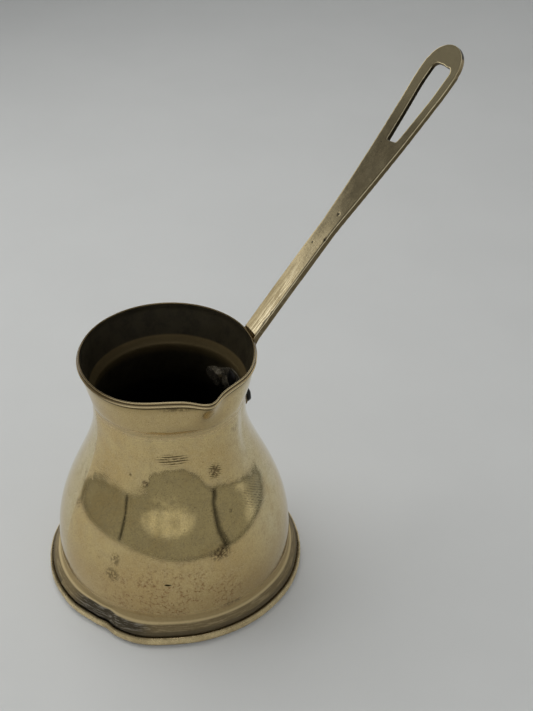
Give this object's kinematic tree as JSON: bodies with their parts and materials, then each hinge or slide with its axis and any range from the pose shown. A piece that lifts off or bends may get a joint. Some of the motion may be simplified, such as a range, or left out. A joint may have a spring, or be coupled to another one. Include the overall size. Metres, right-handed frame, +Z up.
{
  "type": "turkish coffee pot",
  "caption": "Waisted brass coffee pot with a flared collar, side pouring lip, beaded foot and a long riveted strap handle with a hanging slot.",
  "frame": {"origin": "centre of the base's underside, on the table", "axes": "+Z up along the pot's axis, +X towards the handle, -Y towards the pouring lip"},
  "size_m": [0.1768, 0.1066, 0.2085],
  "materials": {
    "sheet_brass": "worn polish, lightly pitted",
    "base_brass": "worn polish, dented",
    "cast_brass": "filed casting, worn satin",
    "solder": "dull tin solder",
    "tinned_plate": "hammered, tarnished",
    "rivet_iron": "forged, dark"
  },
  "bodies": {
    "root": {"vessel_body": "sheet_brass", "base_plate": "base_brass", "seam_solder": "solder", "handle": "cast_brass", "backing_plate": "tinned_plate", "rivet_upper": "rivet_iron", "rivet_lower": "rivet_iron"}
  },
  "joints": []
}
